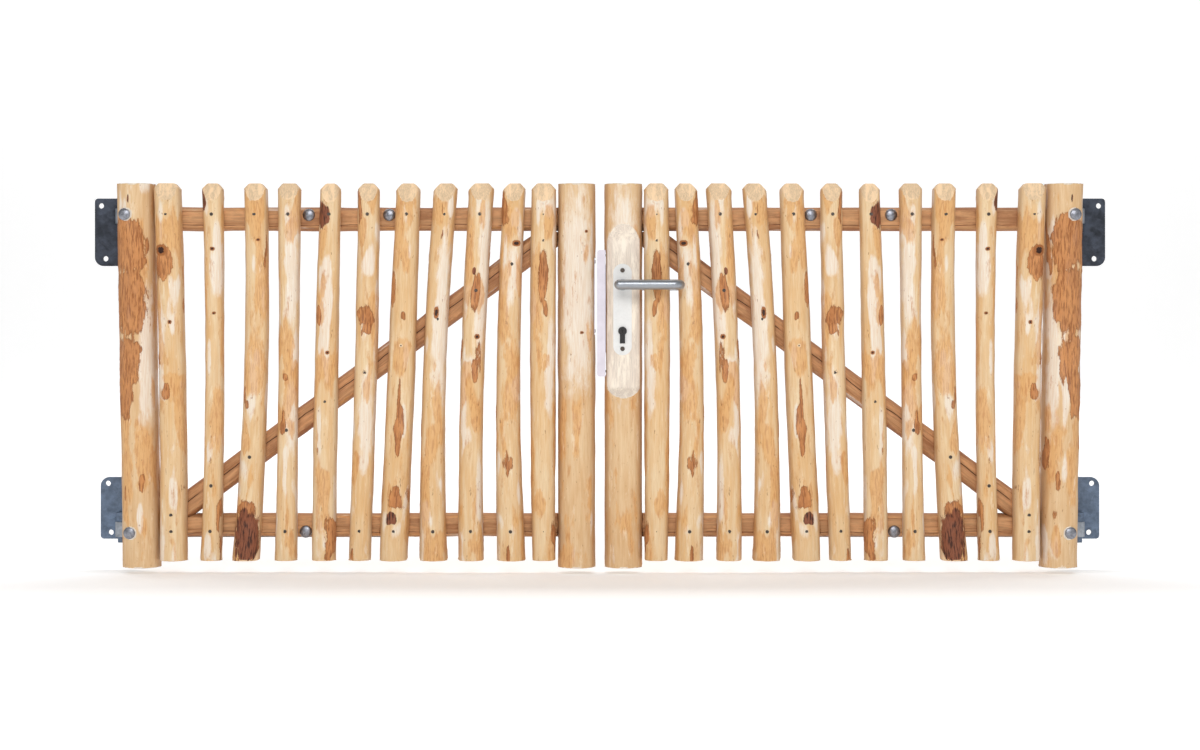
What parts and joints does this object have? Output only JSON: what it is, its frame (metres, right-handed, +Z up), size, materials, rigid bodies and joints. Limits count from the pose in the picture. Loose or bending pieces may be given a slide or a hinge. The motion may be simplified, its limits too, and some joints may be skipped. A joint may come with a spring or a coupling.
{
  "type": "garden gate",
  "caption": "Double-leaf garden gate of debarked round palings with diagonal braces, pin hinges, lever lock and drop bolt.",
  "frame": {"origin": "on the middle line between the leaves, at the height of the posts' feet and on the posts' axes", "axes": "+X to the right facing the lever side, -Y towards that viewer, +Z up"},
  "size_m": [2.064, 0.1723, 0.768],
  "materials": {
    "post_wood": "debarked, dry",
    "rail_wood": "debarked, dry",
    "paling_wood": "debarked, dry",
    "screw_steel": "satin",
    "galvanised_steel": "galvanised",
    "zinc_steel": "zinc plated",
    "dark_plate_steel": "galvanised, weathered",
    "lock_steel": "satin",
    "white_plate": "gloss",
    "lever_aluminium": "satin",
    "black_cylinder": "satin",
    "black_plug": "satin",
    "bolt_steel": "satin"
  },
  "bodies": {
    "pillar_plates": {"left_upper_pin_plate": "dark_plate_steel", "left_lower_pin_plate": "dark_plate_steel", "right_upper_pin_plate": "dark_plate_steel", "right_lower_pin_plate": "dark_plate_steel"},
    "left_leaf": {"left_hinge_post": "post_wood", "left_closing_post": "post_wood", "left_upper_rail": "rail_wood", "left_lower_rail": "rail_wood", "left_brace": "rail_wood", "left_paling_1": "paling_wood", "left_paling_2": "paling_wood", "left_paling_3": "paling_wood", "left_paling_4": "paling_wood", "left_paling_5": "paling_wood", "left_paling_6": "paling_wood", "left_paling_7": "paling_wood", "left_paling_8": "paling_wood", "left_paling_9": "paling_wood", "left_paling_10": "paling_wood", "left_paling_11": "paling_wood", "left_paling_screws": "screw_steel", "left_upper_strap": "galvanised_steel", "left_lower_strap": "galvanised_steel", "left_hinge_bolts": "zinc_steel", "left_strike_plate": "lock_steel", "left_drop_bolt_guide": "galvanised_steel", "left_hardware_screws": "screw_steel"},
    "right_leaf": {"right_hinge_post": "post_wood", "right_closing_post": "post_wood", "right_upper_rail": "rail_wood", "right_lower_rail": "rail_wood", "right_brace": "rail_wood", "right_paling_1": "paling_wood", "right_paling_2": "paling_wood", "right_paling_3": "paling_wood", "right_paling_4": "paling_wood", "right_paling_5": "paling_wood", "right_paling_6": "paling_wood", "right_paling_7": "paling_wood", "right_paling_8": "paling_wood", "right_paling_9": "paling_wood", "right_paling_10": "paling_wood", "right_paling_11": "paling_wood", "right_paling_screws": "screw_steel", "right_upper_strap": "galvanised_steel", "right_lower_strap": "galvanised_steel", "right_hinge_bolts": "zinc_steel", "lock_case": "lock_steel", "lock_forend": "lock_steel", "front_cover_plate": "white_plate", "back_cover_plate": "white_plate", "lock_screws": "screw_steel", "key_cylinder": "black_cylinder"},
    "handle": {"front_lever": "lever_aluminium", "back_lever": "lever_aluminium", "lock_follower": "bolt_steel"},
    "latch": {"latch_bolt": "bolt_steel"},
    "key": {"key_plug": "black_plug"},
    "dead_bolt": {"dead_bolt": "bolt_steel"},
    "drop_rod": {"drop_bolt_rod": "galvanised_steel"}
  },
  "joints": [
    {"name": "left_leaf_swing", "type": "hinge", "parent": "pillar_plates", "child": "left_leaf", "pos_m": [-0.972, 0.04608, 0.388], "axis": [0, 0, 1], "range_deg": [-100, 0]},
    {"name": "right_leaf_swing", "type": "hinge", "parent": "pillar_plates", "child": "right_leaf", "pos_m": [0.972, 0.04608, 0.388], "axis": [0, 0, 1], "range_deg": [0, 100]},
    {"name": "handle_turn", "type": "hinge", "parent": "right_leaf", "child": "handle", "pos_m": [0.045, 0, 0.565], "axis": [0, 1, 0], "range_deg": [0, 40], "stiffness_Nm_per_rad": 2, "springref_deg": -17.19},
    {"name": "latch_slide", "type": "slide", "parent": "right_leaf", "child": "latch", "axis": [1, 0, 0], "range_m": [0, 0.014]},
    {"name": "key_turn", "type": "hinge", "parent": "right_leaf", "child": "key", "pos_m": [0.045, 0, 0.473], "axis": [0, 1, 0], "range_deg": [0, 360]},
    {"name": "dead_bolt_slide", "type": "slide", "parent": "right_leaf", "child": "dead_bolt", "axis": [-1, 0, 0], "range_m": [0, 0.022]},
    {"name": "drop_bolt_slide", "type": "slide", "parent": "left_leaf", "child": "drop_rod", "axis": [0, 0, -1], "range_m": [0, 0.1]}
  ],
  "couplings": [
    {"joint": "latch_slide", "follows": "handle_turn", "m_per_rad": 0.02},
    {"joint": "key_turn", "follows": "dead_bolt_slide", "rad_per_m": 285.6}
  ]
}
